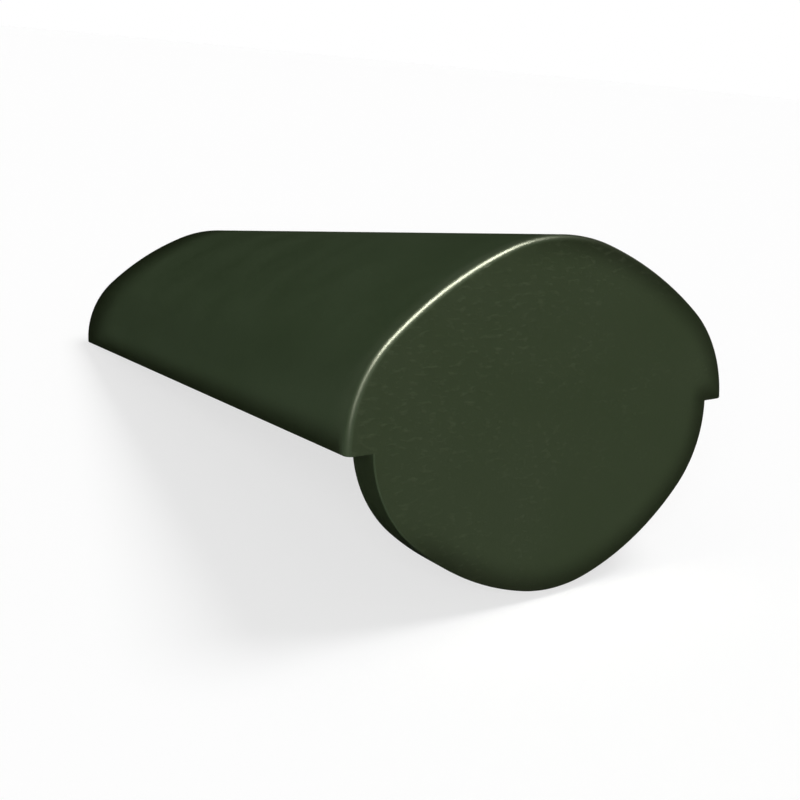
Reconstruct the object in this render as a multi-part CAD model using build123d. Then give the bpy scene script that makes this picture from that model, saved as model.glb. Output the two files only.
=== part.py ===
from build123d import *
import math
import os

os.makedirs("parts", exist_ok=True)

# Ridge end tile: the last tile of a roof's ridge, cast in one piece.
# A hog-back cover runs back from the gable. Its front is closed by a flat end plate, whose upper
# part follows the cover's outline and whose lower lobe hangs below the bearing edges.
# All lengths are in millimetres. In the tile's own axes X runs across, Y back along the ridge
# and Z up, with the end plate's outer face at Y = 0 and the bearing edges at Z = 0.

# Cover: rounded crown, slightly bowed slopes, tight flanks that end square on the bearing edges
LENGTH = 450.0            # end plate's outer face to the plain rear end
WIDTH = 230.0             # across the outer faces of the skirts
RISE = 89.0               # outer crown above the bearing edges
WALL = 13.0               # thickness of the cover
CROWN_RADIUS = 92.0       # outer radius over the crown
CROWN_TURN = 20.0         # degrees that the outline has turned from level where each slope starts
SLOPE_TURN = 40.0         # degrees that it has turned where each flank starts

# End plate
END_THICKNESS = 19.5
LOBE_DROP = 83.0          # lowest point of the lobe below the bearing edges
LOBE_CROWN_RADIUS = 80.0  # radius round the lobe's lowest point
LOBE_CROWN_TURN = 15.0    # as for the cover, counted from the lobe's lowest point
LOBE_SLOPE_TURN = 45.0

# Edges
RIM_RADIUS = 3.2          # rounded rim round the end plate's upper outline
ARRIS_RADIUS = 0.8        # eased edges left by the mould on the rear end, skirts and lobe
COVE_RADIUS = 8.0         # hollow fillet where the end plate meets the underside of the cover

# Dependent sizes
half_width = WIDTH / 2
inner_half_width = half_width - WALL


def outline(half_span, rise, crown_radius, crown_turn, slope_turn):
    """Closed face on the XZ plane under a run of five tangent arcs, springing square from Z = 0.

    The crown's radius and the turns where the arcs meet are given. The radii of the slopes and
    flanks are the two that make the run end at the half span and reach the rise.
    """
    first, second = math.radians(crown_turn), math.radians(slope_turn)
    crown_x, crown_z = math.sin(first), 1 - math.cos(first)
    slope_x, slope_z = math.sin(second) - math.sin(first), math.cos(first) - math.cos(second)
    flank_x, flank_z = 1 - math.sin(second), math.cos(second)
    left_over_x = half_span - crown_radius * crown_x
    left_over_z = rise - crown_radius * crown_z
    share = slope_x * flank_z - flank_x * slope_z
    slope_radius = (left_over_x * flank_z - flank_x * left_over_z) / share
    flank_radius = (slope_x * left_over_z - left_over_x * slope_z) / share

    def on_arc(centre, radius, turn):
        return centre + Vector(math.sin(turn), math.cos(turn)) * radius

    def mirrored(point):
        return Vector(-point.X, point.Y)

    top, foot = Vector(0, rise), Vector(half_span, 0)
    crown_centre = top - Vector(0, crown_radius)
    crown_end = on_arc(crown_centre, crown_radius, first)
    slope_centre = on_arc(crown_end, -slope_radius, first)
    slope_mid = on_arc(slope_centre, slope_radius, (first + second) / 2)
    slope_end = on_arc(slope_centre, slope_radius, second)
    flank_centre = foot - Vector(flank_radius, 0)
    flank_mid = on_arc(flank_centre, flank_radius, (second + math.pi / 2) / 2)
    arcs = Curve() + [
        ThreePointArc(foot, flank_mid, slope_end),
        ThreePointArc(slope_end, slope_mid, crown_end),
        ThreePointArc(crown_end, top, mirrored(crown_end)),
        ThreePointArc(mirrored(crown_end), mirrored(slope_mid), mirrored(slope_end)),
        ThreePointArc(mirrored(slope_end), mirrored(flank_mid), mirrored(foot)),
        Line(mirrored(foot), foot),
    ]
    return Plane.XZ * make_face(arcs)


def run(face, start, length):
    """Solid that carries a face back along the ridge from Y = start."""
    return Pos(0, start, 0) * extrude(face, amount=length, dir=(0, 1, 0))


def curved(edges):
    """The arcs among these edges, without the straight ones."""
    return edges.filter_by(GeomType.LINE, reverse=True)


# Cover and the upper part of the end plate: one block with a rounded rim
body = run(outline(half_width, RISE, CROWN_RADIUS, CROWN_TURN, SLOPE_TURN), 0, LENGTH)
body = fillet(curved(body.faces().sort_by(Axis.Y)[0].edges()), RIM_RADIUS)

# Hollow of even wall from the rear end up to the end plate, coved where it stops
hollow = outline(inner_half_width, RISE - WALL, CROWN_RADIUS - WALL, CROWN_TURN, SLOPE_TURN)
cavity = run(hollow, END_THICKNESS, LENGTH - END_THICKNESS)
cavity = fillet(curved(cavity.faces().sort_by(Axis.Y)[0].edges()), COVE_RADIUS)
body -= cavity

# Rear end and the outer long edges, eased
rear_edges = body.faces().sort_by(Axis.Y)[-1].edges()
long_edges = body.edges().filter_by(Axis.Y).group_by(Axis.Z)[0]
outer_edges = long_edges.sort_by(Axis.X)[:1] + long_edges.sort_by(Axis.X)[-1:]
body = fillet(rear_edges + outer_edges, ARRIS_RADIUS)

# Lower lobe of the end plate, set in from the skirts by the thickness of the cover. Its root goes
# up into the block, past the eased lower edge of the block, so that the front is one flat face.
lobe_face = outline(
    inner_half_width, LOBE_DROP, LOBE_CROWN_RADIUS, LOBE_CROWN_TURN, LOBE_SLOPE_TURN
)
lobe = run(mirror(lobe_face, about=Plane.XY), 0, END_THICKNESS)
lobe = fillet(curved(lobe.edges()), ARRIS_RADIUS)
root = extrude(lobe.faces().sort_by(Axis.Z)[-1], amount=RIM_RADIUS)
body += [lobe, root]

# Laid down on level ground the tile leans back. It touches with the eased rear edge of the lobe
# and with the eased rear ends of the two skirts.
rest_angle = math.degrees(math.atan2(LOBE_DROP, LENGTH - END_THICKNESS))
laid = Rot(-rest_angle, 0, 0) * body
box = laid.bounding_box()
tile = Pos(-box.center().X, -box.center().Y, -box.min.Z) * laid
tile.label = "ridge_end_tile"

export_step(tile, "parts/ridge_end_tile.step")
print("rest angle", round(rest_angle, 4), "volume", round(tile.volume), "valid", tile.is_valid)
print("box", [round(v, 3) for v in (box.size.X, box.size.Y, box.size.Z)])
print("centre", round(box.center().Y, 4), "lowest", round(box.min.Z, 4))
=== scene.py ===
import math

import bmesh
import bpy
from bpy.props import FloatProperty, FloatVectorProperty, PointerProperty
from mathutils import Matrix, Vector, kdtree, noise


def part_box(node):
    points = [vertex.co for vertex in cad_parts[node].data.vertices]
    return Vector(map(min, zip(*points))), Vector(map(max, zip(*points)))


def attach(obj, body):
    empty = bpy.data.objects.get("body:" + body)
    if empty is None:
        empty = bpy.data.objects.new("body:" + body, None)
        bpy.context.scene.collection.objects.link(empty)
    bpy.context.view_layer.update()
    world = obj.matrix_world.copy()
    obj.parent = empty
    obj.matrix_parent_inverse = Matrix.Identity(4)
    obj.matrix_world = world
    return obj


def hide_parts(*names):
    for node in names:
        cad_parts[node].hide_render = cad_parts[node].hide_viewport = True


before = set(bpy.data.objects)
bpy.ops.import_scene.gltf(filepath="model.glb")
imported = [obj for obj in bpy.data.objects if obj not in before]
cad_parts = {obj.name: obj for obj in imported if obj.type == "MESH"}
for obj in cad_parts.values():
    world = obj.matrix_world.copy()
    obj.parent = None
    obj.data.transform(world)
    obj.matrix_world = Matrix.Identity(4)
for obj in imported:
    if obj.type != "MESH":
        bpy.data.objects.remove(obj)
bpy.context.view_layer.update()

bl_info = {
    "name": "Ridge End Tile",
    "version": (1, 0, 0),
    "blender": (4, 5, 0),
    "location": "3D View > Sidebar > Ridge Tile",
    "description": "Cast concrete ridge end tile with a dark green satin coat, and a plain studio",
    "category": "Object",
}

NODE = "ridge_end_tile"


def linear(code):
    """An sRGB hex colour as linear red, green, blue and a full alpha."""
    parts = [int(code[i:i + 2], 16) / 255 for i in (0, 2, 4)]
    parts = [p / 12.92 if p <= 0.04045 else ((p + 0.055) / 1.055) ** 2.4 for p in parts]
    return (*parts, 1.0)


def length_prop(name, description, millimetres):
    return FloatProperty(
        name=name, description=description, default=millimetres / 1000, min=0.0,
        unit="LENGTH", subtype="DISTANCE", precision=5,
    )


def angle_prop(name, description, degrees):
    return FloatProperty(
        name=name, description=description, default=math.radians(degrees),
        unit="ROTATION", subtype="ANGLE",
    )


def colour_prop(name, description, code):
    return FloatVectorProperty(
        name=name, description=description, default=linear(code), size=4, min=0.0, max=1.0,
        subtype="COLOR",
    )


class TileSizes(bpy.types.PropertyGroup):
    """Sizes of the cast tile."""

    length: length_prop("Length", "End plate's outer face to the plain rear end", 450)
    width: length_prop("Width", "Across the outer faces of the skirts", 230)
    rise: length_prop("Rise", "Outer crown above the bearing edges", 89)
    wall: length_prop("Wall", "Thickness of the cover", 13)
    crown_radius: length_prop("Crown radius", "Outer radius over the crown", 92)
    crown_turn: angle_prop("Crown turn", "Turn from level where the slopes start", 20)
    slope_turn: angle_prop("Slope turn", "Turn from level where the flanks start", 40)
    plate: length_prop("End plate", "Thickness of the end plate", 19.5)
    lobe_drop: length_prop("Lobe drop", "Lobe's lowest point below the bearing edges", 83)
    lobe_crown_radius: length_prop("Lobe radius", "Radius round the lobe's lowest point", 80)
    lobe_crown_turn: angle_prop("Lobe crown turn", "Turn where the lobe's slopes start", 15)
    lobe_slope_turn: angle_prop("Lobe slope turn", "Turn where the lobe's flanks start", 45)
    rim_radius: length_prop("Rim", "Rounded rim round the end plate", 3.2)
    arris_radius: length_prop("Arris", "Eased edges left by the mould", 0.8)
    cove_radius: length_prop("Cove", "Hollow fillet behind the end plate", 8)
    relief: length_prop("Relief", "Depth of the slight waviness of the cast faces", 0.03)


class TileFinish(bpy.types.PropertyGroup):
    """Colours and gloss of the coated concrete."""

    coat: colour_prop("Coat", "Body colour of the coat", "33402A")
    coat_thin: colour_prop("Thin coat", "Coat where it lies thinner over the sand", "37442E")
    plate_coat: colour_prop("Plate's coat", "Coat on the trowelled end plate", "303B25")
    # Colour of the painted shade along the edges and over the lobe's narrow wall
    shade_colour: colour_prop("Deep coat", "Coat where it has run to an edge and lies thick", "1C2412")
    fleck: colour_prop("Fleck", "Sand grains and drag marks that catch the light", "4E5840")
    roughness: FloatProperty(
        name="Roughness", description="Roughness of the satin coat", default=0.36,
        min=0.0, max=1.0, subtype="FACTOR",
    )


class StudioLook(bpy.types.PropertyGroup):
    """Lamps, flags and floor round the tile."""

    floor: colour_prop("Floor", "Colour of the floor", "FAFAFA")
    top_light: FloatProperty(
        name="Top light", description="Soft light from above, on the right", default=2.0,
        min=0.0,
    )
    front_light: FloatProperty(
        name="Front light", description="Soft light from the front left", default=1.8, min=0.0
    )
    kicker: FloatProperty(
        name="Kicker", description="Strip lamp that shows only as a glint along the rim",
        default=195.0, min=0.0, unit="POWER",
    )
    kicker_tail: FloatProperty(
        name="Kicker's tail", description="Weaker strip that carries the glint down the rim",
        default=20.0, min=0.0, unit="POWER",
    )
    kicker_colour: colour_prop("Kicker's colour", "Pale green-yellow tint of the strip lamps", "F4F8DC")
    scrim_share: FloatProperty(
        name="Scrim", description="Share of the strip lamps' light that reaches the cover",
        default=0.15, min=0.0, max=1.0, subtype="FACTOR",
    )
    ambient: FloatProperty(
        name="Ambient", description="Even light of the room", default=0.22, min=0.0
    )
    flag_grey: FloatProperty(
        name="Flags", description="How pale the flags look in the tile's gloss", default=0.004,
        min=0.0, max=1.0, subtype="FACTOR",
    )


# Steps of the mesh along half an outline, from its crown to its foot
CROWN_STEPS = 10
SLOPE_STEPS = 22
FLANK_STEPS = 18
# Steps round each eased edge
ARRIS_STEPS = 3
RIM_STEPS = 7
COVE_STEPS = 6
ROW = 0.004  # spacing of the cross rows along the tile, in metres
PLATE_ROWS = 28  # cuts across the faces of the end plate
FOOT_PARTS = 8  # parts into which a foot's line is divided for the distance to the outline
SEAT_REACH = 0.004  # height over the bearing edges at which the seating of the feet fades out
WAVES = 18  # waves of the cast faces in a metre
SHARP_TURN = 38  # degrees between faces from which an edge is drawn sharp
NEAR = 1e-6  # metres that count as touching
MERGE = 1e-7
PAINTED_SHADE = "painted_edge_shade"  # vertex attribute: painted shade along the edges, from 0 to 1

# How far the painted shade reaches in from the edges, in metres
EDGE_BAND = 0.015
REAR_BAND = 0.075
RIM_BAND = 0.004
LOBE_WALL_SHADE = 0.7  # painted shade on the lobe's narrow wall, as a share of the darkest

# Where the end plate's painted shade starts and over how many degrees it comes in, counted from the
# plate's right side: upwards to the crown and downwards to the lobe
UPPER_START = 70
UPPER_FADE = 50
LOWER_START = 138
LOWER_FADE = 25


def closing_radii(half_span, rise, crown_radius, crown_turn, slope_turn):
    """Radii of the slope and flank arcs that end the outline at the half span, square to level."""
    crown_x, crown_z = math.sin(crown_turn), 1 - math.cos(crown_turn)
    slope_x = math.sin(slope_turn) - math.sin(crown_turn)
    slope_z = math.cos(crown_turn) - math.cos(slope_turn)
    flank_x, flank_z = 1 - math.sin(slope_turn), math.cos(slope_turn)
    left_x = half_span - crown_radius * crown_x
    left_z = rise - crown_radius * crown_z
    share = slope_x * flank_z - flank_x * slope_z
    return (
        (left_x * flank_z - flank_x * left_z) / share,
        (slope_x * left_z - left_x * slope_z) / share,
    )


def wire(bm, half_span, rise, crown_radius, turns, y, arris, upright):
    """Chain of edges from one foot over the crown to the other, spun arc by arc at this y.

    The feet stand at Z = 0. With an arris each flank turns in to its foot with a small arc.
    """
    known = set(bm.edges)
    crown_turn, slope_turn = turns
    slope_radius, flank_radius = closing_radii(
        half_span, rise, crown_radius, crown_turn, slope_turn
    )
    side = 1 if upright else -1

    def normal(turn):
        return Vector((math.sin(turn), 0, side * math.cos(turn)))

    crown_centre = Vector((0, y, side * (rise - crown_radius)))
    slope_centre = crown_centre + normal(crown_turn) * (crown_radius - slope_radius)
    flank_centre = slope_centre + normal(slope_turn) * (slope_radius - flank_radius)
    arcs = [
        (crown_centre, crown_turn, CROWN_STEPS),
        (slope_centre, slope_turn - crown_turn, SLOPE_STEPS),
    ]
    if arris:
        ease = math.acos(arris / (flank_radius - arris))
        arris_centre = flank_centre + normal(ease) * (flank_radius - arris)
        arcs += [
            (flank_centre, ease - slope_turn, FLANK_STEPS),
            (arris_centre, math.pi - ease, ARRIS_STEPS),
        ]
    else:
        arcs.append((flank_centre, math.pi / 2 - slope_turn, FLANK_STEPS + ARRIS_STEPS))
    tip = bm.verts.new((0, y, side * rise))
    chain = [tip]
    for centre, turn, steps in arcs:
        made = bmesh.ops.spin(
            bm, geom=[chain[-1]], cent=centre, axis=(0, 1, 0), angle=side * turn, steps=steps,
            use_merge=False, use_duplicate=False,
        )
        chain.append([g for g in made["geom_last"] if isinstance(g, bmesh.types.BMVert)][0])
    half = [e for e in bm.edges if e not in known]
    ends = list({v for e in half for v in e.verts})
    bmesh.ops.mirror(bm, geom=ends + half, axis="X", merge_dist=NEAR)
    return [e for e in bm.edges if e not in known]


def level_line(bm, half_span, y, cuts):
    """Straight chain from side to side at Z = 0, with as many points as a wire has."""
    known = set(bm.edges)
    ends = [bm.verts.new((x, y, 0)) for x in (-half_span, half_span)]
    bmesh.ops.subdivide_edges(bm, edges=[bm.edges.new(ends)], cuts=cuts)
    return [e for e in bm.edges if e not in known]


def cast_shell(sizes):
    """Closed shell of the tile in its own axes: X across, Y back from the plate, Z up.

    With it come points on the outline of the end plate, both of its rim and of its lobe.
    """
    bm = bmesh.new()
    s = sizes
    half, arris, rim, cove = s.width / 2, s.arris_radius, s.rim_radius, s.cove_radius
    cover_turns = (s.crown_turn, s.slope_turn)
    lobe_turns = (s.lobe_crown_turn, s.lobe_slope_turn)
    lobe_half = half - s.wall

    def cover(inset, y, foot=0.0):
        return wire(
            bm, half - inset, s.rise - inset, s.crown_radius - inset, cover_turns, y, foot, True
        )

    def lobe(inset, y):
        return wire(
            bm, lobe_half - inset, s.lobe_drop - inset, s.lobe_crown_radius - inset,
            lobe_turns, y, 0.0, False,
        )

    def quarter(steps):
        return [math.pi / 2 * i / steps for i in range(steps + 1)]

    points = 2 * (CROWN_STEPS + SLOPE_STEPS + FLANK_STEPS + ARRIS_STEPS) + 1
    run = []
    # Rear end: outer arris, end face, inner arris
    for a in quarter(ARRIS_STEPS):
        run.append(cover(arris * (1 - math.cos(a)), s.length - arris * (1 - math.sin(a)), arris))
    for a in reversed(quarter(ARRIS_STEPS)):
        inset = s.wall - arris * (1 - math.cos(a))
        run.append(cover(inset, s.length - arris * (1 - math.sin(a))))
    # Underside of the cover, then the cove and the back of the plate
    for a in quarter(COVE_STEPS):
        back = s.plate + cove * (1 - math.sin(a))
        run.append(cover(s.wall + cove * (1 - math.cos(a)), back))
    run.append(level_line(bm, half - s.wall - cove, s.plate, points - 2))
    # Lobe: back arris, side, front arris
    for a in reversed(quarter(ARRIS_STEPS)):
        run.append(lobe(arris * (1 - math.cos(a)), s.plate - arris * (1 - math.sin(a))))
    outline = [v.co.copy() for e in run[0] + run[-1] for v in e.verts]
    foot_line = [lobe_half + s.wall * i / FOOT_PARTS for i in range(FOOT_PARTS + 1)]
    outline += [Vector((x, 0, 0)) for x in foot_line]
    for a in quarter(ARRIS_STEPS):
        run.append(lobe(arris * (1 - math.cos(a)), arris * (1 - math.sin(a))))
    run.append(level_line(bm, lobe_half - arris, 0, points - 2))
    # Rim, from the front face back to the outer skin
    for a in reversed(quarter(RIM_STEPS)):
        run.append(cover(rim * (1 - math.cos(a)), rim * (1 - math.sin(a)), arris))
    run.append(run[0])
    for here, there in zip(run, run[1:]):
        bmesh.ops.bridge_loops(bm, edges=here + there)
    bmesh.ops.remove_doubles(bm, verts=bm.verts, dist=MERGE)

    # Cross rows on the skins and on the plate's two faces
    by_cuts = {}
    for e in bm.edges:
        if e.calc_length() > 3 * ROW and not e.is_boundary:
            by_cuts.setdefault(rows_for(e, s), []).append(e)
    for cuts, edges in by_cuts.items():
        bmesh.ops.subdivide_edges(bm, edges=edges, cuts=cuts, use_grid_fill=True)
    bmesh.ops.holes_fill(bm, edges=[e for e in bm.edges if e.is_boundary], sides=0)
    bmesh.ops.recalc_face_normals(bm, faces=bm.faces)
    seat_feet(bm, s)
    return bm, outline


def seat_feet(bm, sizes):
    """Takes the rear corners of the feet back to the level line on which an arris would rest."""
    lean, arris = lean_of(sizes), sizes.arris_radius
    touch_y = sizes.length - arris * (1 - math.sin(lean))
    touch_z = arris * (1 - math.cos(lean))
    for v in bm.verts:
        lift = touch_z + (v.co.y - touch_y) * math.tan(lean)
        if lift > 0 and v.co.z < SEAT_REACH:
            v.co.z += lift * (1 - v.co.z / SEAT_REACH)


def rows_for(edge, sizes):
    """How many cuts a long edge gets: one number for the skins and one for the plate's faces."""
    if abs(edge.verts[0].co.y - edge.verts[1].co.y) > sizes.plate:
        return int((sizes.length - sizes.plate) / ROW)
    return PLATE_ROWS


def fade(distance, reach):
    """1 at an edge, easing to 0 at the reach."""
    t = min(1.0, max(0.0, distance / reach))
    return 1 - t * t * (3 - 2 * t)


def paint_edge_shade(bm, sizes, outline):
    """Marks painted shade, from 0 to 1: along the skirts' low edges, round the rear end, along the end
    plate's right and lower edges and over the lobe's narrow wall."""
    tree = kdtree.KDTree(len(outline))
    for i, point in enumerate(outline):
        tree.insert((point.x, 0, point.z), i)
    tree.balance()
    layer = bm.verts.layers.float.new(PAINTED_SHADE)
    for v in bm.verts:
        x, y, z = v.co
        inset = tree.find((x, 0, z))[2]
        # Turn round the plate, counted from its right side, anticlockwise as it is seen
        turn = math.degrees(math.atan2(z, x))
        if turn > 0:
            shaded_side = fade(turn - UPPER_START, UPPER_FADE)
        else:
            shaded_side = fade(-turn - LOWER_START, LOWER_FADE)
        # Share of painted shade at this point, which darkens the coat's colour
        depth = fade(inset + max(0.0, y), EDGE_BAND) * shaded_side
        if z > 0 and y > sizes.rim_radius:
            past_rim = 1 - fade(y - sizes.rim_radius, RIM_BAND)
            at_foot = fade(z, EDGE_BAND) * past_rim
            depth = max(depth, at_foot, fade(sizes.length - y, REAR_BAND))
        if z < 0 and inset < 0.001 and y > sizes.arris_radius:
            depth = LOBE_WALL_SHADE
        v[layer] = depth


def settle(bm, depth):
    """Slight inward waviness, as a cast face keeps from its pallet and slurry coat."""
    bm.normal_update()
    for v in bm.verts:
        wave = noise.fractal(v.co * WAVES, 1.0, 2.0, 2, noise_basis="PERLIN_ORIGINAL")
        swell = 0.5 + 0.5 * wave
        v.co -= v.normal * depth * min(1.0, max(0.0, swell))


def lean_of(sizes):
    """Angle by which the tile leans back when it lies on level ground on its lobe and skirts."""
    return math.atan2(sizes.lobe_drop, sizes.length - sizes.plate)


def lay_down(bm, sizes):
    """Turns the shell into its resting place and returns the matrix that did it."""
    turn = Matrix.Rotation(-lean_of(sizes), 4, "X")
    bmesh.ops.transform(bm, matrix=turn, verts=bm.verts)
    low, high = (Vector(c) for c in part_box(NODE))
    ys = [v.co.y for v in bm.verts]
    shift = Vector((
        0, (low.y + high.y) / 2 - (min(ys) + max(ys)) / 2, low.z - min(v.co.z for v in bm.verts)
    ))
    bmesh.ops.translate(bm, verts=bm.verts, vec=shift)
    return Matrix.Translation(shift) @ turn


def add(nodes, kind, links=(), **settings):
    """Adds a node: plain names set its properties, and in_ names or numbers set its inputs.

    A colour Mix node has its two colours at inputs 6 and 7 and its result at output 2.
    """
    node = nodes.new(kind)
    for key, value in settings.items():
        if key.startswith("in_"):
            name = key[3:]
            socket = node.inputs[int(name) if name.isdigit() else name.replace("_", " ")]
            socket.default_value = value
        else:
            setattr(node, key, value)
    for source, target in links:
        node.id_data.links.new(source, node.inputs[target])
    return node


# Real sizes of the coat's patterns, in metres
MOTTLE = 0.060  # patches where the coat lies thinner
GRAIN = 0.0009  # sand grains, drawn a little coarse so that they show
PEEL = 0.0035  # the coat's own soft unevenness
MARK_LENGTH = 0.005  # drag marks of the trowel, which lie level
MARK_HEIGHT = 0.0022
MARK_PATCH = 0.030  # loose patches of drag marks
GRAIN_DEPTH = 0.00006
PEEL_DEPTH = 0.00012
MARK_DEPTH = 0.0001
FACE_END = 0.00014  # depth behind the end plate's face at which the rim has turned away


def drag_marks(nodes, spot, axes, front):
    """Drag marks on the end plate, which thin out from its upper left to its lower right."""
    drawn = add(
        nodes, "ShaderNodeMapping", [(spot, "Vector")], vector_type="POINT",
        in_Scale=(1 / MARK_LENGTH, 1 / MARK_LENGTH, 1 / MARK_HEIGHT),
    )
    drag = add(
        nodes, "ShaderNodeTexNoise", [(drawn.outputs["Vector"], "Vector")],
        in_Scale=1.0, in_Detail=1.0, in_Roughness=0.5,
    )
    marks = add(
        nodes, "ShaderNodeMapRange", [(drag.outputs["Fac"], "Value")],
        in_From_Min=0.54, in_From_Max=0.78,
    )
    patches = add(
        nodes, "ShaderNodeTexNoise", [(spot, "Vector")],
        in_Scale=1 / MARK_PATCH, in_Detail=1.0, in_Roughness=0.5,
    )
    rising = add(
        nodes, "ShaderNodeMath", [(axes.outputs["Z"], 0), (axes.outputs["X"], 1)],
        operation="SUBTRACT",
    )
    spread = add(
        nodes, "ShaderNodeMath",
        [(rising.outputs["Value"], 0), (patches.outputs["Fac"], 2)],
        operation="MULTIPLY_ADD", in_1=1.8,
    )
    patchy = add(
        nodes, "ShaderNodeMapRange", [(spread.outputs["Value"], "Value")],
        in_From_Min=0.36, in_From_Max=0.66, in_To_Min=0.06,
    )
    loose = add(
        nodes, "ShaderNodeMath",
        [(marks.outputs["Result"], 0), (patchy.outputs["Result"], 1)], operation="MULTIPLY",
    )
    kept = add(
        nodes, "ShaderNodeMath", [(loose.outputs["Value"], 0), (front, 1)], operation="MULTIPLY",
    )
    return kept.outputs["Value"]


def coat_colour(nodes, finish, mottle, grain, marks, front):
    """Coat's colour: mottled, plainer on the end plate, painted shade at the edges, then flecked."""
    tone = add(
        nodes, "ShaderNodeMapRange", [(mottle, "Value")], in_From_Min=0.35, in_From_Max=0.65,
    )
    body = add(
        nodes, "ShaderNodeMix", [(tone.outputs["Result"], "Factor")], data_type="RGBA",
        in_6=tuple(finish.coat), in_7=tuple(finish.coat_thin),
    )
    coats = add(
        nodes, "ShaderNodeMix", [(front, "Factor"), (body.outputs[2], 6)],
        data_type="RGBA", in_7=tuple(finish.plate_coat),
    )
    # Painted shade: darkens the coat along its edges and on the lobe's wall, from the vertex attribute
    edge_shade = add(nodes, "ShaderNodeAttribute", attribute_name=PAINTED_SHADE)
    deep = add(
        nodes, "ShaderNodeMix", [(edge_shade.outputs["Fac"], "Factor"), (coats.outputs[2], 6)],
        data_type="RGBA", in_7=tuple(finish.shade_colour),
    )
    grit = add(
        nodes, "ShaderNodeMapRange", [(grain, "Value")],
        in_From_Min=0.62, in_From_Max=0.78, in_To_Max=0.30,
    )
    sanded = add(
        nodes, "ShaderNodeMix", [(grit.outputs["Result"], "Factor"), (deep.outputs[2], 6)],
        data_type="RGBA", in_7=tuple(finish.fleck),
    )
    # Drag marks tinted pale: partly their own colour, partly painted highlight for the light their
    # ridges catch
    pale_marks = add(nodes, "ShaderNodeMath", [(marks, 0)], operation="MULTIPLY", in_1=0.25)
    marked = add(
        nodes, "ShaderNodeMix", [(pale_marks.outputs["Value"], "Factor"), (sanded.outputs[2], 6)],
        data_type="RGBA", in_7=tuple(finish.fleck),
    )
    return marked.outputs[2]


def coat_relief(nodes, spot, grain, marks):
    """Coat's relief: soft unevenness, sand grains under it and the drag marks."""
    peel = add(
        nodes, "ShaderNodeTexNoise", [(spot, "Vector")],
        in_Scale=1 / PEEL, in_Detail=2.0, in_Roughness=0.5,
    )
    soft = add(
        nodes, "ShaderNodeBump", [(peel.outputs["Fac"], "Height")],
        in_Strength=0.25, in_Distance=PEEL_DEPTH,
    )
    fine = add(
        nodes, "ShaderNodeBump", [(grain, "Height"), (soft.outputs["Normal"], "Normal")],
        in_Strength=0.3, in_Distance=GRAIN_DEPTH,
    )
    dragged = add(
        nodes, "ShaderNodeBump", [(marks, "Height"), (fine.outputs["Normal"], "Normal")],
        in_Strength=1.0, in_Distance=MARK_DEPTH,
    )
    return dragged.outputs["Normal"]


def coated_concrete(finish, placed):
    """Satin acrylic slurry coat sprayed on a fine sand and cement casting.

    To the eye: a deep green body, slightly mottled where the coat is thinner, a soft sheen, sand
    grains just felt through the coat, and short level drag marks on the trowelled end plate.
    """
    material = bpy.data.materials.new("acrylic_coated_concrete")
    material.use_nodes = True
    nodes = material.node_tree.nodes
    nodes.clear()
    place = add(nodes, "ShaderNodeTexCoord")
    # The pattern lies in the tile's own axes, so that drag marks run level across the plate
    upright = placed.inverted()
    tile = add(
        nodes, "ShaderNodeMapping", [(place.outputs["Object"], "Vector")], vector_type="POINT",
        in_Location=upright.translation, in_Rotation=upright.to_euler(),
    )
    spot = tile.outputs["Vector"]
    mottle = add(
        nodes, "ShaderNodeTexNoise", [(spot, "Vector")],
        in_Scale=1 / MOTTLE, in_Detail=4.0, in_Roughness=0.55,
    )
    grain = add(
        nodes, "ShaderNodeTexNoise", [(spot, "Vector")],
        in_Scale=1 / GRAIN, in_Detail=2.0, in_Roughness=0.6,
    )
    axes = add(nodes, "ShaderNodeSeparateXYZ", [(spot, "Vector")])
    face = add(
        nodes, "ShaderNodeMapRange", [(axes.outputs["Y"], "Value")],
        in_From_Min=FACE_END, in_From_Max=0.00005,
    )
    front = face.outputs["Result"]
    marks = drag_marks(nodes, spot, axes, front)
    colour = coat_colour(nodes, finish, mottle.outputs["Fac"], grain.outputs["Fac"], marks, front)
    gloss = add(
        nodes, "ShaderNodeMapRange", [(mottle.outputs["Fac"], "Value")],
        in_From_Min=0.3, in_From_Max=0.7,
        in_To_Min=finish.roughness - 0.03, in_To_Max=finish.roughness + 0.05,
    )
    relief = coat_relief(nodes, spot, grain.outputs["Fac"], marks)
    surface = add(
        nodes, "ShaderNodeBsdfPrincipled",
        [(colour, "Base Color"), (gloss.outputs["Result"], "Roughness"), (relief, "Normal")],
        in_IOR=1.48, in_Specular_IOR_Level=0.4,
    )
    add(nodes, "ShaderNodeOutputMaterial", [(surface.outputs["BSDF"], "Surface")])
    return material


# Studio, in metres. The scrim's sizes are in the tile's own axes.
FLOOR_REACH = 60.0  # from the middle of the floor to its edges
FLAGS_RADIUS = 6.0
FLAGS_BOTTOM = 0.0004  # just over the floor
SCRIM_GAP = 0.010  # between the cover and the scrim
SCRIM_FRONT = 0.004  # where the scrim starts behind the end plate's face, so that the rim is bare
SCRIM_PAST = 0.080  # how far it runs on past the rear end
SCRIM_DROP = 0.020  # how far it hangs below the bearing edges
FLOOR_GLOW = 0.66  # share of the floor that shows white, which sets how dark its shadow looks

# The photograph's camera, in the tile's own axes: metres, degrees and millimetres
CAMERA_PLACE = (-0.28615, -0.32378, 0.09635)
CAMERA_AZIMUTH = 31.365  # turned to the right of the ridge line
CAMERA_DOWN = 11.153
CAMERA_ROLL = -0.623
CAMERA_LENS = 41.161
CAMERA_SENSOR = 36


def seen_rays(nodes):
    """Socket that is 1 for the rays that see the background: camera, gloss and glass."""
    rays = add(nodes, "ShaderNodeLightPath")
    seen = add(
        nodes, "ShaderNodeMath",
        [(rays.outputs["Is Camera Ray"], 0), (rays.outputs["Is Glossy Ray"], 1)],
        operation="MAXIMUM",
    )
    shown = add(
        nodes, "ShaderNodeMath",
        [(seen.outputs["Value"], 0), (rays.outputs["Is Transmission Ray"], 1)],
        operation="MAXIMUM",
    )
    return shown.outputs["Value"]


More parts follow.
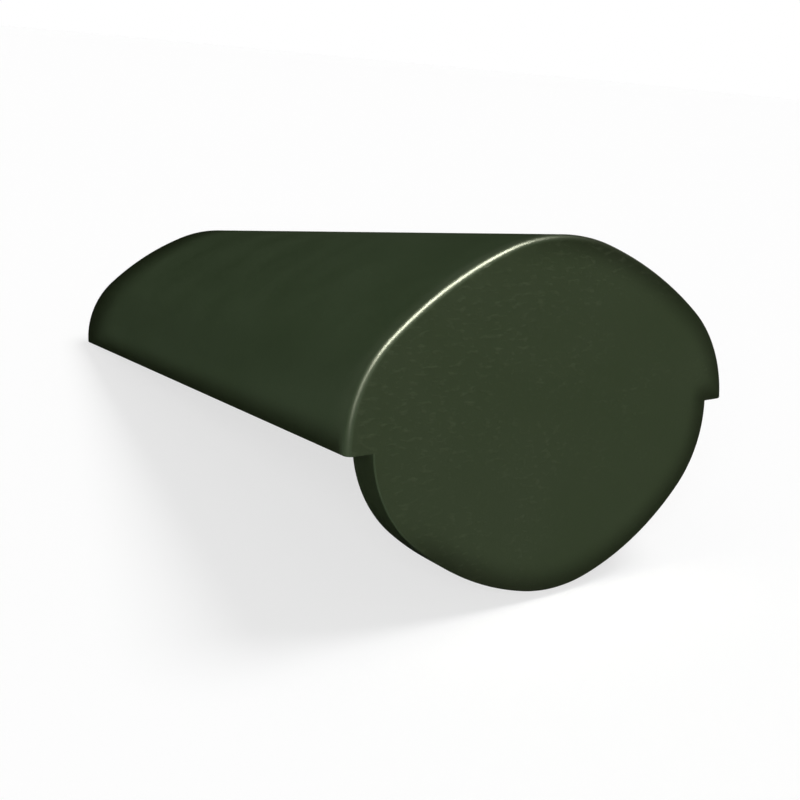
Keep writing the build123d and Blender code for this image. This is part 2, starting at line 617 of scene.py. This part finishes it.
def pale_floor(colour):
    """Matt white board, which keeps the tile's shadow but is white to the camera elsewhere."""
    material = bpy.data.materials.new("matt_white_board")
    material.use_nodes = True
    nodes = material.node_tree.nodes
    nodes.clear()
    share = add(
        nodes, "ShaderNodeMath", [(seen_rays(nodes), 0)], operation="MULTIPLY", in_1=FLOOR_GLOW
    )
    board = add(nodes, "ShaderNodeBsdfDiffuse", in_Color=tuple(colour))
    glow = add(nodes, "ShaderNodeEmission", in_Strength=1.0)
    mixed = add(
        nodes, "ShaderNodeMixShader",
        [(share.outputs["Value"], 0), (board.outputs["BSDF"], 1), (glow.outputs["Emission"], 2)],
    )
    add(nodes, "ShaderNodeOutputMaterial", [(mixed.outputs["Shader"], "Surface")])
    return material


def black_velvet(grey):
    """Black velvet of the flags, which sends back hardly any light."""
    material = bpy.data.materials.new("black_velvet")
    material.use_nodes = True
    nodes = material.node_tree.nodes
    nodes.clear()
    dark = add(nodes, "ShaderNodeEmission", in_Strength=grey)
    add(nodes, "ShaderNodeOutputMaterial", [(dark.outputs["Emission"], "Surface")])
    return material


def scrim_cloth(share):
    """Black scrim, whose open weave lets a small share of the light through."""
    material = bpy.data.materials.new("black_scrim")
    material.use_nodes = True
    nodes = material.node_tree.nodes
    nodes.clear()
    weave = add(nodes, "ShaderNodeBsdfTransparent", in_Color=(share, share, share, 1.0))
    add(nodes, "ShaderNodeOutputMaterial", [(weave.outputs["BSDF"], "Surface")])
    return material


def stage_piece(name, bm, material, unseen_by=()):
    """Adds a mesh that is part of the stage and not of the tile."""
    mesh = bpy.data.meshes.new(name)
    bm.to_mesh(mesh)
    bm.free()
    mesh.materials.append(material)
    made = bpy.data.objects.new(name, mesh)
    bpy.context.scene.collection.objects.link(made)
    for rays in unseen_by:
        setattr(made, "visible_" + rays, False)
    return made


def lay_floor(look):
    """Floor that reaches past the picture on every side."""
    bm = bmesh.new()
    bmesh.ops.create_grid(bm, x_segments=8, y_segments=8, size=FLOOR_REACH)
    return stage_piece("floor", bm, pale_floor(look.floor))


def set_flags(look):
    """Black flags round and under the tile, which nothing but its gloss sees.

    They keep the white room out of the gloss, as the photograph's dark edges show.
    """
    bm = bmesh.new()
    bmesh.ops.create_icosphere(bm, subdivisions=3, radius=FLAGS_RADIUS)
    bmesh.ops.bisect_plane(
        bm, geom=bm.verts[:] + bm.edges[:] + bm.faces[:], plane_co=(0, 0, FLAGS_BOTTOM),
        plane_no=(0, 0, 1), clear_inner=True,
    )
    bmesh.ops.holes_fill(bm, edges=[e for e in bm.edges if e.is_boundary], sides=0)
    return stage_piece(
        "flags", bm, black_velvet(look.flag_grey),
        unseen_by=("camera", "diffuse", "transmission", "volume_scatter", "shadow"),
    )


def hang_scrim(look, sizes, placed):
    """Scrim close over the cover, which keeps most of the strip lamps' light off it.

    Only shadow rays see it, and only the strip lamps name it among the things that block them.
    """
    bm = bmesh.new()
    front, rear = (
        wire(
            bm, sizes.width / 2 + SCRIM_GAP, sizes.rise + SCRIM_GAP,
            sizes.crown_radius + SCRIM_GAP, (sizes.crown_turn, sizes.slope_turn), y, 0.0, True,
        )
        for y in (SCRIM_FRONT, sizes.length + SCRIM_PAST)
    )
    bmesh.ops.bridge_loops(bm, edges=front + rear)
    skirts = [e for e in bm.edges if max(abs(v.co.z) for v in e.verts) < NEAR]
    drop = bmesh.ops.extrude_edge_only(bm, edges=skirts)
    low = [g for g in drop["geom"] if isinstance(g, bmesh.types.BMVert)]
    bmesh.ops.translate(bm, verts=low, vec=(0, 0, -SCRIM_DROP))
    bmesh.ops.transform(bm, matrix=placed, verts=bm.verts)
    return stage_piece(
        "scrim", bm, scrim_cloth(look.scrim_share),
        unseen_by=("camera", "diffuse", "glossy", "transmission", "volume_scatter"),
    )


def blocked_by(lamp, things):
    """Only these things cast shadows in the lamp's light."""
    blockers = bpy.data.collections.new(lamp.name + "_blockers")
    for thing in things:
        blockers.objects.link(thing)
    lamp.light_linking.blocker_collection = blockers


def sun(name, towards, degrees, strength, things):
    """Even soft light from a direction. It doesn't show in the gloss."""
    data = bpy.data.lights.new(name, "SUN")
    data.angle = math.radians(degrees)
    data.energy = strength
    made = bpy.data.objects.new(name, data)
    bpy.context.scene.collection.objects.link(made)
    made.rotation_euler = Vector(towards).to_track_quat("Z", "Y").to_euler()
    made.visible_glossy = False
    blocked_by(made, things)


def strip(name, ends, aim, width, power, colour, things):
    """Strip lamp from end to end that faces a point. It shows in the gloss alone."""
    first, last = (Vector(end) for end in ends)
    along = last - first
    data = bpy.data.lights.new(name, "AREA")
    data.shape = "RECTANGLE"
    data.size, data.size_y = along.length, width
    data.energy = power
    data.color = colour[:3]
    # Gloss rays that only happen to meet the lamp would pass the scrim by
    data.cycles.use_multiple_importance_sampling = False
    made = bpy.data.objects.new(name, data)
    bpy.context.scene.collection.objects.link(made)
    along.normalize()
    middle = (first + last) / 2
    away = middle - Vector(aim)
    away = (away - along * away.dot(along)).normalized()
    turned = Matrix((along, away.cross(along), away)).transposed().to_4x4()
    made.matrix_world = Matrix.Translation(middle) @ turned
    made.visible_diffuse = False
    blocked_by(made, things)


def hang_lamps(look, tile, floor, scrim):
    """Two soft suns for the tile and floor, and two strips for the glint along the rim."""
    solid = [tile, floor]
    sun(
        "top_light", towards=(0.5, 0.02, 0.86), degrees=25, strength=look.top_light,
        things=solid,
    )
    sun(
        "front_light", towards=(-0.6, -0.7, 0.4), degrees=40, strength=look.front_light,
        things=solid,
    )
    shared = {
        "aim": (-0.05, -0.18, 0.15), "width": 0.7, "colour": look.kicker_colour,
        "things": [tile, floor, scrim],
    }
    strip(
        "kicker", ends=[(-0.95, -0.62, 1.50), (0.56, -0.33, 1.58)], power=look.kicker, **shared
    )
    strip(
        "kicker_tail", ends=[(-1.45, -0.95, 0.50), (-1.00, -0.72, 1.40)],
        power=look.kicker_tail, **shared,
    )


def fill_room(scene, ambient):
    """Even room light, which shows white to the camera, in gloss and through glass."""
    world = bpy.data.worlds.new("even_room")
    scene.world = world
    world.use_nodes = True
    nodes = world.node_tree.nodes
    nodes.clear()
    level = add(
        nodes, "ShaderNodeMapRange", [(seen_rays(nodes), "Value")], in_To_Min=ambient,
    )
    room = add(
        nodes, "ShaderNodeBackground", [(level.outputs["Result"], "Strength")],
        in_Color=(1, 1, 1, 1),
    )
    add(nodes, "ShaderNodeOutputWorld", [(room.outputs["Background"], "Surface")])


def set_camera(scene, placed):
    """Camera that sees the tile as the photograph does. It leans with the resting tile."""
    data = bpy.data.cameras.new("camera")
    data.lens = CAMERA_LENS
    data.sensor_width = CAMERA_SENSOR
    data.clip_start = 0.01
    camera = bpy.data.objects.new("camera", data)
    scene.collection.objects.link(camera)
    turns = (
        Matrix.Rotation(math.radians(-CAMERA_AZIMUTH), 4, "Z")
        @ Matrix.Rotation(math.radians(90 - CAMERA_DOWN), 4, "X")
        @ Matrix.Rotation(math.radians(CAMERA_ROLL), 4, "Z")
    )
    camera.matrix_world = placed @ Matrix.Translation(CAMERA_PLACE) @ turns
    scene.camera = camera


class RIDGETILE_OT_cast_tile(bpy.types.Operator):
    """Builds the tile in one piece and coats it"""

    bl_idname = "ridgetile.cast_tile"
    bl_label = "Cast tile"

    def execute(self, context):
        sizes = context.scene.ridge_tile_sizes
        bm, outline = cast_shell(sizes)
        paint_edge_shade(bm, sizes, outline)
        settle(bm, sizes.relief)
        placed = lay_down(bm, sizes)
        mesh = bpy.data.meshes.new("cast_tile")
        bm.to_mesh(mesh)
        bm.free()
        mesh.shade_smooth()
        mesh.set_sharp_from_angle(angle=math.radians(SHARP_TURN))
        tile = bpy.data.objects.new("cast_tile", mesh)
        context.scene.collection.objects.link(tile)
        even = tile.modifiers.new("even_shading", "WEIGHTED_NORMAL")
        even.keep_sharp = True
        even.weight = 100
        mesh.materials.append(coated_concrete(context.scene.ridge_tile_finish, placed))
        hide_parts(NODE)
        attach(tile, "root")
        tile["resting"] = [x for row in placed for x in row]
        return {"FINISHED"}


class RIDGETILE_OT_set_studio(bpy.types.Operator):
    """Sets the floor, lamps, room light and camera"""

    bl_idname = "ridgetile.set_studio"
    bl_label = "Set studio"

    def execute(self, context):
        scene, look = context.scene, context.scene.ridge_tile_studio
        tile = bpy.data.objects["cast_tile"]
        values = list(tile["resting"])
        placed = Matrix([values[i:i + 4] for i in range(0, 16, 4)])
        floor = lay_floor(look)
        set_flags(look)
        scrim = hang_scrim(look, scene.ridge_tile_sizes, placed)
        hang_lamps(look, tile, floor, scrim)
        fill_room(scene, look.ambient)
        set_camera(scene, placed)
        scene.view_settings.view_transform = "Standard"
        return {"FINISHED"}


class RIDGETILE_PT_panel(bpy.types.Panel):
    """Sizes, colours and steps of the ridge end tile"""

    bl_idname = "RIDGETILE_PT_panel"
    bl_label = "Ridge End Tile"
    bl_space_type = "VIEW_3D"
    bl_region_type = "UI"
    bl_category = "Ridge Tile"

    def draw(self, context):
        for group, operator in (
            ("ridge_tile_sizes", "ridgetile.cast_tile"),
            ("ridge_tile_finish", None),
            ("ridge_tile_studio", "ridgetile.set_studio"),
        ):
            settings = getattr(context.scene, group)
            box = self.layout.box()
            for key in settings.__annotations__:
                box.prop(settings, key)
            if operator:
                box.operator(operator)


CLASSES = (
    TileSizes, TileFinish, StudioLook,
    RIDGETILE_OT_cast_tile, RIDGETILE_OT_set_studio, RIDGETILE_PT_panel,
)


def register():
    for item in CLASSES:
        bpy.utils.register_class(item)
    bpy.types.Scene.ridge_tile_sizes = PointerProperty(type=TileSizes)
    bpy.types.Scene.ridge_tile_finish = PointerProperty(type=TileFinish)
    bpy.types.Scene.ridge_tile_studio = PointerProperty(type=StudioLook)


def unregister():
    del bpy.types.Scene.ridge_tile_studio
    del bpy.types.Scene.ridge_tile_finish
    del bpy.types.Scene.ridge_tile_sizes
    for item in reversed(CLASSES):
        bpy.utils.unregister_class(item)


def main():
    register()
    bpy.ops.ridgetile.cast_tile()
    bpy.ops.ridgetile.set_studio()


if __name__ == "__main__":
    main()
